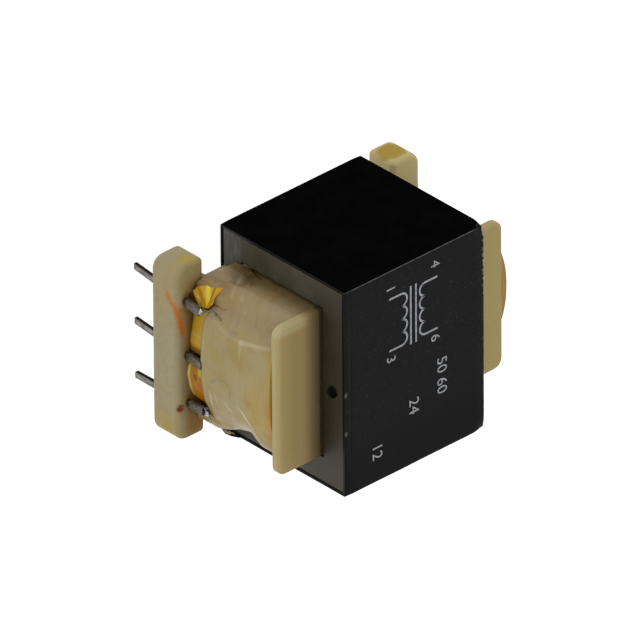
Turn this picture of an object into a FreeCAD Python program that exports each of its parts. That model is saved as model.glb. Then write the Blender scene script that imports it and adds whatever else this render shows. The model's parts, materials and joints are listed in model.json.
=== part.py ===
import FreeCAD, Part
import math
import os

# Transformer for a printed circuit board: an EI core in a thin black band, a moulded bobbin
# with two pin bars, and a wrapped coil. Millimetres.
# Origin: centre of the six pins, on the plane of the bars' undersides, which stand on the board.
# +Z points away from the board, X runs from one pin row to the other, Y runs along the rows.
# The near end is at -X and the far end at +X.

# Terminal pins
PIN_PITCH = 6.35
FAR_PIN_PITCH = 5.08
PINS_PER_ROW = 3
ROW_SPACING = 29.3
PIN_THICKNESS = 0.4
PIN_WIDTH = 0.8
PIN_BELOW_BOARD_FACE = 4.3
PIN_BELOW_COIL = 0.3
PIN_TIP_CHAMFER = 0.12
PIN_HOLE_CLEARANCE = 0.01

# Pin bars
BAR_DEPTH = 3.7
BAR_HEIGHT = 3.8
BAR_END_MARGIN = 3.8
BAR_EDGE_RADIUS = 0.55
BAR_OUTER_CORNER_RADIUS = 1.4

# EI laminations: widths along Y, lengths along Z, thickness along X
CENTRE_LEG = 5.6
OUTER_LEG = 2.8
WINDOW_WIDTH = 5.95
WINDOW_LENGTH = 11.9
E_BACK = 2.8
I_STRIP = 2.55
LAMINATION_THICKNESS = 0.5
VARNISH_FILM = 0.01
LAMINATION_COUNT = 36
PILOT_HOLE_DIAMETER = 1.4
INNER_PILOT_HOLE_SIDES = 8
PILOT_HOLE_OFFSET = -0.4
PILOT_HOLE_FROM_EDGE = 1.5

# Black band round the core
SLEEVE_WALL = 0.42
SLEEVE_CLEARANCE = 0.03
SLEEVE_CORNER_RADIUS = 0.25
SLEEVE_OVERHANG_NEAR = 0.1
SLEEVE_OVERHANG_FAR = 0.45
SLEEVE_END_BEVEL_LENGTH = 1.0
SLEEVE_END_BEVEL_DEPTH = 0.05
CORE_STANDOFF = 2.3

# Bobbin tube and flanges
TUBE_CLEARANCE = 0.08
TUBE_WALL = 0.8
TUBE_CORNER_RADIUS = 0.5
WINDOW_CLEARANCE = 0.05
FLANGE_SIDE_CLEARANCE = 0.15
UPPER_FLANGE_THICKNESS = 1.1
UPPER_FLANGE_REACH = 6.1
UPPER_FLANGE_CORNER_RADIUS = 1.2
LOWER_FLANGE_THICKNESS = 0.9
LOWER_FLANGE_HALF_WIDTH = 7.85
FLANGE_TO_PIN = 0.55
FLANGE_EDGE_CHAMFER = 0.25
CORE_END_CLEARANCE = 0.15
WEB_DROP = 3.0
WEB_ROOT_INSET = 0.4
WEB_ROOT_DROP = 1.4
WEB_ROOT_BITE = 0.3
LIP_HEIGHT = 1.2
WEB_EDGE_RADIUS = 0.3

# Lead grooves in the lower flange
GROOVE_DEPTH = 0.45
GROOVE_CLEARANCE = 0.16

# Windings: builds along Y, and how far the long sides bow out beyond them
PRIMARY_BUILD = 2.2
PRIMARY_BOW = 0.2
PRIMARY_CORNER_RADIUS = 1.5
INTERWINDING_TAPE_THICKNESS = 0.12
SECONDARY_BUILD = 1.9
SECONDARY_BOW_NEAR = 0.75
SECONDARY_BOW_FAR = 2.2
SECONDARY_CORNER_RADIUS = 2.8
WRAP_THICKNESS = 0.28
BOW_RADIUS = 22.0
SECONDARY_BOW_RADIUS_FAR = 11.0
LAYER_CLEARANCE = 0.02
COIL_END_CLEARANCE = 0.05

# Leads, solder and film
LEAD_DIAMETER = 0.25
PRIMARY_LEAD_INSET = 1.1
SECONDARY_LEAD_INSET = 1.0
LEAD_FALL = 0.6
SOLDER_THICKNESS = 0.12
SOLDER_CORNER_RADIUS = 0.2
SOLDER_ABOVE_BAR = 0.15
SOLDER_BELOW_STUB_TOP = 0.1
FILM_THICKNESS = 0.14
FILM_CLEARANCE = 0.02
FILM_MARGIN = 1.2
FILM_TOP_GAP = 0.1

# Tolerance for picking edges by their place
EDGE_MATCH = 0.01

# How a sweep joins its straight runs: 1 stands for a mitre
MITRE = 1

# Levels along Z
pitch = LAMINATION_THICKNESS + VARNISH_FILM
stack_half = (LAMINATION_COUNT * pitch - VARNISH_FILM) / 2
core_half_width = CENTRE_LEG / 2 + WINDOW_WIDTH + OUTER_LEG
core_height = I_STRIP + WINDOW_LENGTH + E_BACK
core_bottom = CORE_STANDOFF + SLEEVE_WALL + SLEEVE_CLEARANCE
core_top = core_bottom + core_height
widest_back = max(E_BACK, I_STRIP)
window_bottom = core_bottom + widest_back
window_top = core_top - widest_back
flange_bottom = window_bottom + WINDOW_CLEARANCE
flange_top = window_top - WINDOW_CLEARANCE
coil_bottom = flange_bottom + LOWER_FLANGE_THICKNESS
coil_top = flange_top - UPPER_FLANGE_THICKNESS

# Extents along X and Y
sleeve_end = {-1: stack_half + SLEEVE_OVERHANG_NEAR, 1: stack_half + SLEEVE_OVERHANG_FAR}
sleeve_inner_half_width = core_half_width + SLEEVE_CLEARANCE
window_outer = CENTRE_LEG / 2 + WINDOW_WIDTH
tube_inner_x = stack_half + TUBE_CLEARANCE
tube_inner_y = CENTRE_LEG / 2 + TUBE_CLEARANCE
tube_outer_x = tube_inner_x + TUBE_WALL
tube_outer_y = tube_inner_y + TUBE_WALL
flange_half_width = window_outer - FLANGE_SIDE_CLEARANCE
upper_flange_x = stack_half + UPPER_FLANGE_REACH
web_inner_x = max(sleeve_end.values()) + CORE_END_CLEARANCE
pin_x = ROW_SPACING / 2
lower_flange_x = pin_x - PIN_THICKNESS / 2 - FLANGE_TO_PIN
row_pitch = {-1: PIN_PITCH, 1: FAR_PIN_PITCH}
row_half_length = {side: (PINS_PER_ROW - 1) * row_pitch[side] / 2 for side in row_pitch}
bar_inner_x = pin_x - BAR_DEPTH / 2
bar_half_length = max(row_half_length.values()) + BAR_END_MARGIN
stub_top = coil_bottom - PIN_BELOW_COIL
lead_radius = LEAD_DIAMETER / 2

parts = {}


def box(x0, x1, y0, y1, z0, z1):
    return Part.makeBox(x1 - x0, y1 - y0, z1 - z0, FreeCAD.Vector(x0, y0, z0))


def polygon(points):
    return Part.Face(Part.makePolygon([FreeCAD.Vector(*p) for p in points + points[:1]]))


def lamination(outline, x0):
    """A flat plate in the Y-Z plane, one lamination thick, from x0 towards +X."""
    face = polygon([(x0, y, z) for y, z in outline])
    return face.extrude(FreeCAD.Vector(LAMINATION_THICKNESS, 0, 0))


def rounded_rectangle(half_u, half_v, radius, place):
    """A closed wire round the origin; place(u, v) gives each point in space."""
    u = half_u - radius
    v = half_v - radius
    k = radius * math.sqrt(0.5)
    edges = []
    for su, sv in ((1, 1), (-1, 1), (-1, -1), (1, -1)):
        on_side = place(su * half_u, sv * v)
        on_diagonal = place(su * (u + k), sv * (v + k))
        on_top = place(su * u, sv * half_v)
        if su * sv > 0:
            corner = (on_side, on_diagonal, on_top)
        else:
            corner = (on_top, on_diagonal, on_side)
        if edges:
            edges.append(Part.makeLine(last, corner[0]))
        else:
            first = corner[0]
        edges.append(Part.Arc(*corner).toShape())
        last = corner[2]
    edges.append(Part.makeLine(last, first))
    return Part.Wire(edges)


def flat_plate(half_x, half_y, radius, z0, z1):
    wire = rounded_rectangle(half_x, half_y, radius, lambda x, y: FreeCAD.Vector(x, y, z0))
    return Part.Face(wire).extrude(FreeCAD.Vector(0, 0, z1 - z0))


# Laminations: the E's back lies at the print side in even layers and at the pin side in odd ones

def e_outline(flipped):
    leg = CENTRE_LEG / 2
    open_end = core_bottom + I_STRIP
    bridge = open_end + WINDOW_LENGTH
    half = [
        (leg, open_end),
        (leg, bridge),
        (window_outer, bridge),
        (window_outer, open_end),
        (core_half_width, open_end),
        (core_half_width, core_top),
    ]
    outline = half + [(-y, z) for y, z in reversed(half)]
    if flipped:
        outline = [(y, core_bottom + core_top - z) for y, z in outline]
    return outline


def i_outline(flipped):
    w = core_half_width
    low = core_top - I_STRIP if flipped else core_bottom
    return [(-w, low), (w, low), (w, low + I_STRIP), (-w, low + I_STRIP)]


def e_lamination(layer):
    flipped = layer % 2 == 1
    x0 = layer * pitch - stack_half
    hole_z = core_bottom + PILOT_HOLE_FROM_EDGE if flipped else core_top - PILOT_HOLE_FROM_EDGE
    return lamination(e_outline(flipped), x0).cut(pilot_hole(x0, hole_z, layer in inner_layers))


def pilot_hole(x0, z, plain):
    """Round where it shows, and a plain prism in the layers that others cover."""
    radius = PILOT_HOLE_DIAMETER / 2
    if plain:
        turns = [2 * math.pi * n / INNER_PILOT_HOLE_SIDES for n in range(INNER_PILOT_HOLE_SIDES)]
        points = [(PILOT_HOLE_OFFSET + radius * math.cos(a), z + radius * math.sin(a)) for a in turns]
        return lamination(points, x0)
    start = FreeCAD.Vector(x0, PILOT_HOLE_OFFSET, z)
    return Part.makeCylinder(radius, LAMINATION_THICKNESS, start, FreeCAD.Vector(1, 0, 0))


def i_lamination(layer):
    return lamination(i_outline(layer % 2 == 1), layer * pitch - stack_half)


inner_layers = range(1, LAMINATION_COUNT - 1)
parts["e_laminations"] = Part.makeCompound([e_lamination(n) for n in inner_layers])
parts["i_laminations"] = Part.makeCompound([i_lamination(n) for n in inner_layers])
for end, layer in (("near", 0), ("far", LAMINATION_COUNT - 1)):
    parts["end_lamination_e_" + end] = e_lamination(layer)
    parts["end_lamination_i_" + end] = i_lamination(layer)


# Black band, with ends pressed slightly inwards

def core_sleeve():
    centre_z = (core_bottom + core_top) / 2
    half_y = sleeve_inner_half_width + SLEEVE_WALL
    half_z = core_height / 2 + SLEEVE_CLEARANCE + SLEEVE_WALL

    def ring(x, inset):
        return rounded_rectangle(
            half_y - inset,
            half_z - inset,
            SLEEVE_CORNER_RADIUS,
            lambda y, z: FreeCAD.Vector(x, y, centre_z + z),
        )

    shoulder = {side: end - SLEEVE_END_BEVEL_LENGTH for side, end in sleeve_end.items()}
    straight = FreeCAD.Vector(shoulder[-1] + shoulder[1], 0, 0)
    body = Part.Face(ring(-shoulder[-1], 0)).extrude(straight)
    for side, end in sleeve_end.items():
        rings = [ring(side * shoulder[side], 0), ring(side * end, SLEEVE_END_BEVEL_DEPTH)]
        body = body.fuse(Part.makeLoft(rings, True))
    inner_z = core_height / 2 + SLEEVE_CLEARANCE
    inside = box(
        -sleeve_end[-1], sleeve_end[1],
        -sleeve_inner_half_width, sleeve_inner_half_width,
        centre_z - inner_z, centre_z + inner_z,
    )
    return body.cut(inside).removeSplitter()


parts["core_sleeve"] = core_sleeve()


# Bobbin

def side_profile(side):
    """Lower flange, web and lip of one side, as a profile in the X-Z plane."""
    web_bottom = coil_bottom - WEB_DROP
    root_outer = bar_inner_x + WEB_ROOT_BITE
    root_inner = bar_inner_x - WEB_ROOT_INSET
    root_bottom = web_bottom - WEB_ROOT_DROP
    points = [
        (web_inner_x, coil_bottom),
        (web_inner_x, web_bottom),
        (root_inner, web_bottom),
        (root_inner, root_bottom),
        (root_outer, root_bottom),
        (root_outer, coil_bottom - LIP_HEIGHT),
        (lower_flange_x, coil_bottom - LIP_HEIGHT),
        (lower_flange_x, coil_bottom),
    ]
    w = LOWER_FLANGE_HALF_WIDTH
    profile = polygon([(side * x, -w, z) for x, z in points])
    web = profile.extrude(FreeCAD.Vector(0, 2 * w, 0))
    lip_edges = [e for e in web.Edges if is_lip_edge(e, side)]
    return web.makeFillet(WEB_EDGE_RADIUS, lip_edges)


def is_lip_edge(edge, side):
    """True for the outer edges of the lip, seen between the bar and the coil."""
    c = edge.CenterOfMass
    on_lip_face = abs(side * c.x - lower_flange_x) < EDGE_MATCH
    upright = abs(c.z - (coil_bottom - LIP_HEIGHT / 2)) < EDGE_MATCH
    lower = abs(c.z - (coil_bottom - LIP_HEIGHT)) < EDGE_MATCH
    return on_lip_face and (upright or lower)


def pin_bar(side):
    """A bar with rounded edges, whose upright corners away from the core are rounder."""
    outer = side * (bar_inner_x + BAR_DEPTH)
    x0, x1 = sorted((side * bar_inner_x, outer))
    bar = box(x0, x1, -bar_half_length, bar_half_length, 0, BAR_HEIGHT)
    bar = bar.makeFillet(BAR_OUTER_CORNER_RADIUS, [e for e in bar.Edges if is_upright_at(e, outer)])
    sharp = [e for e in bar.Edges if is_level(e) or is_upright_at(e, side * bar_inner_x)]
    return bar.makeFillet(BAR_EDGE_RADIUS, sharp)


def is_level(edge):
    return edge.BoundBox.ZLength < EDGE_MATCH


def is_upright_at(edge, x):
    return not is_level(edge) and abs(edge.CenterOfMass.x - x) < EDGE_MATCH


def upper_flange():
    plate = flat_plate(
        upper_flange_x, flange_half_width, UPPER_FLANGE_CORNER_RADIUS, coil_top, flange_top
    )
    return plate.makeChamfer(FLANGE_EDGE_CHAMFER, [e for e in plate.Edges if is_level(e)])


def lead_groove_y(pin_y):
    return pin_y + PIN_WIDTH / 2 + lead_radius + LAYER_CLEARANCE


def lead_start_x(side):
    """Where a lead leaves its winding."""
    if side < 0:
        return -(tube_outer_x + PRIMARY_LEAD_INSET)
    return tube_outer_x + PRIMARY_BUILD + SECONDARY_LEAD_INSET


def lead_groove(side, pin_y):
    half = lead_radius + GROOVE_CLEARANCE
    x0, x1 = sorted((lead_start_x(side) - side * half, side * (lower_flange_x + half)))
    y = lead_groove_y(pin_y)
    return box(x0, x1, y - half, y + half, coil_bottom - GROOVE_DEPTH, coil_bottom + half)


def pin_places():
    """Pin number, side and place along the row, counted from +Y, near row first."""
    number = 0
    for side in (-1, 1):
        for step in range(PINS_PER_ROW):
            number += 1
            yield number, side, row_half_length[side] - step * row_pitch[side]


def pin_prism(x, y, margin, z0, z1):
    """The pin's flat section, larger by a margin all round."""
    half_x = PIN_THICKNESS / 2 + margin
    half_y = PIN_WIDTH / 2 + margin
    return box(x - half_x, x + half_x, y - half_y, y + half_y, z0, z1)


def bobbin():
    body = flat_plate(tube_outer_x, tube_outer_y, TUBE_CORNER_RADIUS, flange_bottom, flange_top)
    body = body.fuse(upper_flange())
    w = flange_half_width
    body = body.fuse(box(-web_inner_x, web_inner_x, -w, w, flange_bottom, coil_bottom))
    for side in (-1, 1):
        body = body.fuse(side_profile(side)).fuse(pin_bar(side))
    body = body.cut(
        box(-tube_inner_x, tube_inner_x, -tube_inner_y, tube_inner_y, flange_bottom, flange_top)
    )
    for number, side, y in pin_places():
        body = body.cut(pin_prism(side * pin_x, y, PIN_HOLE_CLEARANCE, 0, BAR_HEIGHT))
        body = body.cut(lead_groove(side, y))
    return body.removeSplitter()


parts["bobbin"] = bobbin()


# Coil: each layer's outline has straight sides along X and bowed long sides

def coil_outline(half_y, near, far, corner, z):
    """A closed wire: flat at y = +-half_y, with an arc at each end; near and far are each
    an arc's reach along X and its radius."""
    edges = []
    points = []
    for side, (reach, bow) in ((1, far), (-1, near)):
        bow_centre = reach - bow
        corner_y = half_y - corner
        corner_x = bow_centre + math.sqrt((bow - corner) ** 2 - corner_y ** 2)
        scale = bow / (bow - corner)
        meet = ((bow_centre + (corner_x - bow_centre) * scale), corner_y * scale)
        angle = (math.atan2(corner_y, corner_x - bow_centre) + math.pi / 2) / 2
        middle = (corner_x + corner * math.cos(angle), corner_y + corner * math.sin(angle))
        points.append((side, corner_x, meet, middle, reach))

    def at(side, x, y):
        return FreeCAD.Vector(side * x, y, z)

    for side, corner_x, meet, middle, reach in points:
        top = at(side, corner_x, side * half_y)
        low = at(side, corner_x, -side * half_y)
        meet_top = at(side, meet[0], side * meet[1])
        meet_low = at(side, meet[0], -side * meet[1])
        edges.append(Part.Arc(top, at(side, middle[0], side * middle[1]), meet_top).toShape())
        edges.append(Part.Arc(meet_top, at(side, reach, 0), meet_low).toShape())
        edges.append(Part.Arc(meet_low, at(side, middle[0], -side * middle[1]), low).toShape())
        other = points[1] if side > 0 else points[0]
        edges.append(Part.makeLine(low, at(-side, other[1], -side * half_y)))
    return Part.Wire(edges)


def layer(outer, inner):
    """A ring between two outlines, from the lower flange to the upper one."""
    z0 = coil_bottom
    height = FreeCAD.Vector(0, 0, coil_top - COIL_END_CLEARANCE - z0)
    solid = Part.Face(outer(z0)).extrude(height)
    return solid.cut(Part.Face(inner(z0)).extrude(height))


def outline_at(build, bow_near, bow_far, corner, far_radius):
    """The coil's outline at a build over the bobbin's tube."""
    half_y = tube_outer_y + build
    near = (tube_outer_x + build + bow_near, BOW_RADIUS)
    far = (tube_outer_x + build + bow_far, far_radius)
    return lambda z: coil_outline(half_y, near, far, corner, z)


def tube_outline(z):
    return rounded_rectangle(
        tube_outer_x + LAYER_CLEARANCE,
        tube_outer_y + LAYER_CLEARANCE,
        TUBE_CORNER_RADIUS,
        lambda x, y: FreeCAD.Vector(x, y, z),
    )


primary_build = LAYER_CLEARANCE + PRIMARY_BUILD
tape_build = primary_build + LAYER_CLEARANCE + INTERWINDING_TAPE_THICKNESS
secondary_build = tape_build + LAYER_CLEARANCE + SECONDARY_BUILD
wrap_build = secondary_build + LAYER_CLEARANCE + WRAP_THICKNESS


def primary_outline(extra):
    corner = PRIMARY_CORNER_RADIUS + extra
    return outline_at(primary_build + extra, PRIMARY_BOW, PRIMARY_BOW, corner, BOW_RADIUS)


def secondary_outline(extra):
    corner = SECONDARY_CORNER_RADIUS + extra
    far_radius = SECONDARY_BOW_RADIUS_FAR + extra
    build = secondary_build + extra
    return outline_at(build, SECONDARY_BOW_NEAR, SECONDARY_BOW_FAR, corner, far_radius)


tape_extra = tape_build - primary_build
wrap_extra = wrap_build - secondary_build
parts["primary_winding"] = layer(primary_outline(0), tube_outline)
parts["interwinding_tape"] = layer(primary_outline(tape_extra), primary_outline(LAYER_CLEARANCE))
parts["secondary_winding"] = layer(
    secondary_outline(0), primary_outline(tape_extra + LAYER_CLEARANCE)
)
parts["coil_wrap_tape"] = layer(secondary_outline(wrap_extra), secondary_outline(LAYER_CLEARANCE))


# Pins, leads, solder and film

def terminal_pin(x, y):
    tip = -PIN_BELOW_BOARD_FACE
    pin = pin_prism(x, y, 0, tip, stub_top)
    tip_edges = [e for e in pin.Edges if abs(e.CenterOfMass.z - tip) < EDGE_MATCH]
    return pin.makeChamfer(PIN_TIP_CHAMFER, tip_edges)


def mitred_tube(points, radius):
    """A round wire along straight runs that meet at mitres."""
    path = Part.makePolygon([FreeCAD.Vector(*p) for p in points])
    start = path.Vertexes[0].Point
    along = path.Vertexes[1].Point - start
    circle = Part.Wire(Part.makeCircle(radius, start, along))
    return path.makePipeShell([circle], True, False, MITRE)


def lead_wire(side, pin_y):
    y = lead_groove_y(pin_y)
    z = coil_bottom - lead_radius - LAYER_CLEARANCE
    turn_down = side * (pin_x - LEAD_FALL)
    points = [(lead_start_x(side), y, z), (turn_down, y, z), (side * pin_x, y, z - LEAD_FALL)]
    return mitred_tube(points, lead_radius)


def solder_joint(side, pin_y, pin, lead):
    """Solder over the turns of wire round the stub."""
    bottom = BAR_HEIGHT + SOLDER_ABOVE_BAR
    top = stub_top - SOLDER_BELOW_STUB_TOP
    half_x = PIN_THICKNESS / 2 + SOLDER_THICKNESS
    half_y = PIN_WIDTH / 2 + SOLDER_THICKNESS
    joint = flat_plate(half_x, half_y, SOLDER_CORNER_RADIUS, bottom, top)
    joint.translate(FreeCAD.Vector(side * pin_x, pin_y, 0))
    return joint.cut(pin).cut(lead)


def lead_film(side):
    """A strip of film on the outer face of the lower flange, behind the pins."""
    x0 = lower_flange_x + FILM_CLEARANCE
    xs = sorted((side * x0, side * (x0 + FILM_THICKNESS)))
    w = row_half_length[side] + FILM_MARGIN
    film = box(xs[0], xs[1], -w, w, BAR_HEIGHT, coil_bottom - FILM_TOP_GAP)
    for number, row_side, y in pin_places():
        if row_side == side:
            film = film.cut(lead_groove(side, y))
    return film


for number, side, y in pin_places():
    pin = terminal_pin(side * pin_x, y)
    lead = lead_wire(side, y)
    parts[f"terminal_pin_{number}"] = pin
    parts[f"lead_wire_{number}"] = lead
    parts[f"solder_joint_{number}"] = solder_joint(side, y, pin, lead)
for end, side in (("near", -1), ("far", 1)):
    parts["lead_film_" + end] = lead_film(side)

os.makedirs("parts", exist_ok=True)
for node, shape in parts.items():
    shape.exportStep(f"parts/{node}.step")
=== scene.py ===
import json
import math
from functools import reduce

import bmesh
import bpy
from mathutils import Matrix, Vector, noise

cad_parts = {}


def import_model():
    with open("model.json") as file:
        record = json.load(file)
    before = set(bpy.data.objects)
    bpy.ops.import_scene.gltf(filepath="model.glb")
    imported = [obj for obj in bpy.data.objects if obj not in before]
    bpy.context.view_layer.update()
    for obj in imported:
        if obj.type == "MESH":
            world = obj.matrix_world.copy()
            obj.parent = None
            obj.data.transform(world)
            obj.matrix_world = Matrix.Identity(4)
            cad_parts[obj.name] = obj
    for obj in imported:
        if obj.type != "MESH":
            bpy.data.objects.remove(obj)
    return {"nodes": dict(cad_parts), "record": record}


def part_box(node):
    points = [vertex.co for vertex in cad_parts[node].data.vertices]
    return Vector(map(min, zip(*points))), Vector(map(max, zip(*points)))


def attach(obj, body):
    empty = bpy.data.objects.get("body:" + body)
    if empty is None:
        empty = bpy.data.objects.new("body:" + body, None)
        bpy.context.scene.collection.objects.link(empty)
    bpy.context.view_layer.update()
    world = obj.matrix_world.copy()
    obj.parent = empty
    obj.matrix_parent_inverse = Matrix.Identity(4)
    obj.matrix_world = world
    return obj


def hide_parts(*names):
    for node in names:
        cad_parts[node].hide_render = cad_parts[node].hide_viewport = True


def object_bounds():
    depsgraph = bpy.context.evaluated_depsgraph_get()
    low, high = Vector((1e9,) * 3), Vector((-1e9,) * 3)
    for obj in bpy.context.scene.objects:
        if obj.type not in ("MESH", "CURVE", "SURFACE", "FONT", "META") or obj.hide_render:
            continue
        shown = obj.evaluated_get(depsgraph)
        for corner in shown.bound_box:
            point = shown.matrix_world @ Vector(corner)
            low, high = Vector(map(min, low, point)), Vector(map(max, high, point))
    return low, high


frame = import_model()
cad_low, cad_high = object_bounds()

# Lengths here are in millimetres and become metres where a mesh, light or camera is made.
# The near end is at -X, the print face at +Z, and the pins point to -Z.
MM = 0.001


def mm_box(node):
    low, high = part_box(node)
    return low / MM, high / MM


sleeve_low, sleeve_high = mm_box("core_sleeve")
core_low, core_high = mm_box("e_laminations")
tape_low, tape_high = mm_box("coil_wrap_tape")
bobbin_low, bobbin_high = mm_box("bobbin")
core_centre = (core_low + core_high) / 2
bar_top = mm_box("lead_film_near")[0].z


def srgb(red, green, blue):
    """A tone, which is a colour by its 0 to 255 values, as the linear colour that shaders take."""
    def linear(value):
        share = value / 255
        if share <= 0.04045:
            return share / 12.92
        return ((share + 0.055) / 1.055) ** 2.4
    return (linear(red), linear(green), linear(blue), 1.0)


# Node graphs

class Shader:
    """One material: a Principled surface whose colour, roughness and relief come from nodes."""

    def __init__(self, name, **fixed):
        self.material = bpy.data.materials.new(name)
        self.material.use_nodes = True
        self.tree = self.material.node_tree
        self.surface = self.tree.nodes["Principled BSDF"]
        for socket, value in fixed.items():
            self.surface.inputs[socket.replace("_", " ")].default_value = value
        self.place = self.scaled(self.node("ShaderNodeTexCoord", {}, "Object"), 1 / MM)
        self.x, self.y, self.z = (self.node("ShaderNodeSeparateXYZ", {0: self.place}, n) for n in range(3))
        self.colour = None

    def node(self, kind, inputs, output, **properties):
        """The named output of a new node, whose inputs are fed by name or number."""
        made = self.tree.nodes.new(kind)
        for name, value in properties.items():
            setattr(made, name, value)
        for name, value in inputs.items():
            self.feed(made.inputs[name], value)
        return made.outputs[output]

    def feed(self, socket, value):
        if isinstance(value, bpy.types.NodeSocket):
            self.tree.links.new(value, socket)
        else:
            socket.default_value = value

    def vector(self, operation, a, b):
        output = "Value" if operation == "DOT_PRODUCT" else "Vector"
        return self.node("ShaderNodeVectorMath", {0: a, 1: b}, output, operation=operation)

    def scaled(self, vector, by):
        return self.node("ShaderNodeVectorMath", {0: vector, "Scale": by}, "Vector", operation="SCALE")

    def length(self, vector):
        return self.node("ShaderNodeVectorMath", {0: vector}, "Value", operation="LENGTH")

    def math(self, operation, a, b):
        return self.node("ShaderNodeMath", {0: a, 1: b}, 0, operation=operation)

    def ramp(self, value, low, high):
        """0 below low, 1 above high and smooth between; low may be the larger."""
        inputs = {"Value": value, "From Min": low, "From Max": high}
        return self.node("ShaderNodeMapRange", inputs, "Result", interpolation_type="SMOOTHSTEP")

    def noise(self, size, detail, stretch=(1, 1, 1), shift=0.0):
        """Soft noise from 0 to 1 whose features are about size millimetres across."""
        scaled = self.vector("MULTIPLY", self.place, [1 / (size * s) for s in stretch])
        moved = self.vector("ADD", scaled, (shift, 0, 0))
        return self.node("ShaderNodeTexNoise", {"Vector": moved, "Scale": 1.0, "Detail": detail}, "Fac")

    def mix(self, share, a, b, kind="RGBA"):
        """From a to b; each is a colour that nodes make, or a tone."""
        a, b = (srgb(*end) if isinstance(end, tuple) else end for end in (a, b))
        return self.node("ShaderNodeMix", {"Factor": share, "A": a, "B": b}, "Result", data_type=kind)

    def blend(self, share, a, b):
        """The same for plain numbers."""
        return self.mix(share, a, b, "FLOAT")

    def fade(self, reach, soft, wander, size, shift):
        """1 where reach is small, fading out over the share soft before 1, where noise moves the rim."""
        if wander:
            wave = self.math("SUBTRACT", self.noise(size, 3.0, shift=shift), 0.5)
            reach = self.math("ADD", reach, self.math("MULTIPLY", wave, wander))
        return self.ramp(reach, 1.0, 1.0 - soft)

    def spot(self, centre, radii, soft=0.5, wander=0.0, size=0.8):
        """1 inside an ellipsoid."""
        away = self.vector("SUBTRACT", self.place, centre)
        reach = self.length(self.vector("DIVIDE", away, radii))
        return self.fade(reach, soft, wander, size, centre[0])

    def streak(self, points, width, soft=0.5, wander=0.0, size=0.8):
        """1 along a chain of straight lines of the given half width."""
        shares = []
        for start, end in zip(points, points[1:]):
            start, end = Vector(start), Vector(end)
            run = end - start
            away = self.vector("SUBTRACT", self.place, start)
            share = self.vector("DOT_PRODUCT", away, run / run.length_squared)
            share = self.node("ShaderNodeMath", {0: share, 1: 0.0}, 0, operation="ADD", use_clamp=True)
            off_line = self.vector("SUBTRACT", away, self.scaled(run, share))
            reach = self.math("DIVIDE", self.length(off_line), width)
            shares.append(self.fade(reach, soft, wander, size, start.x))
        return self.most(*shares)

    def most(self, *shares):
        return reduce(lambda a, b: self.math("MAXIMUM", a, b), shares)

    def times(self, *shares):
        return reduce(lambda a, b: self.math("MULTIPLY", a, b), shares)

    def mottle(self, wave, a, b, low=0.35, high=0.65):
        """The first colour, which noise mixes from two."""
        self.colour = self.mix(self.ramp(wave, low, high), a, b)

    def paint(self, tone, strength, *shares):
        """Lays a tone over the colour so far, as far as all the shares reach."""
        self.colour = self.mix(self.times(*shares, strength), self.colour, tone)

    def dab(self, tone, strength, *spot):
        self.paint(tone, strength, self.spot(*spot))

    def stroke(self, tone, strength, *streak):
        self.paint(tone, strength, self.streak(*streak))

    def relief(self, height, depth, below=None):
        """A bump of the given depth in millimetres; below is a bump that it lies on."""
        inputs = {"Height": height, "Distance": depth * MM}
        if below is not None:
            inputs["Normal"] = below
        return self.node("ShaderNodeBump", inputs, "Normal")

    def finish(self, roughness=None, normal=None):
        for socket, value in (("Base Color", self.colour), ("Roughness", roughness), ("Normal", normal)):
            if value is not None:
                self.feed(self.surface.inputs[socket], value)
        return self.material


# The near pins stand a little askew: each one's lean along X and Y for a millimetre of height
PIN_LEAN = {1: (-0.08, -0.04), 2: (-0.06, -0.04), 3: (-0.043, 0.047)}

# From a near pin's middle to the side that mirrors the dark core
SHADOW_SIDE = Vector((0.1, 0.52, 0.0))


def pin_axis(number, z):
    """The middle of a pin at a height. The near ones lean, with their tips at the solids' places."""
    low, high = mm_box("terminal_pin_%d" % number)
    lean_x, lean_y = PIN_LEAN.get(number, (0.0, 0.0))
    rise = z - low.z
    return Vector(((low.x + high.x) / 2 + lean_x * rise, (low.y + high.y) / 2 + lean_y * rise, z))


# Materials. Places and sizes in them are millimetres, and a strength or a share goes from 0 to 1.

CREAM = (150, 136, 96)
CREAM_PALE = (147, 138, 105)
OCHRE = (132, 106, 54)
BROWN = (96, 62, 18)
DARK_BROWN = (44, 26, 12)
YELLOW = (158, 134, 40)
RUST = (172, 92, 2)
DARK_RED = (108, 36, 10)


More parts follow.
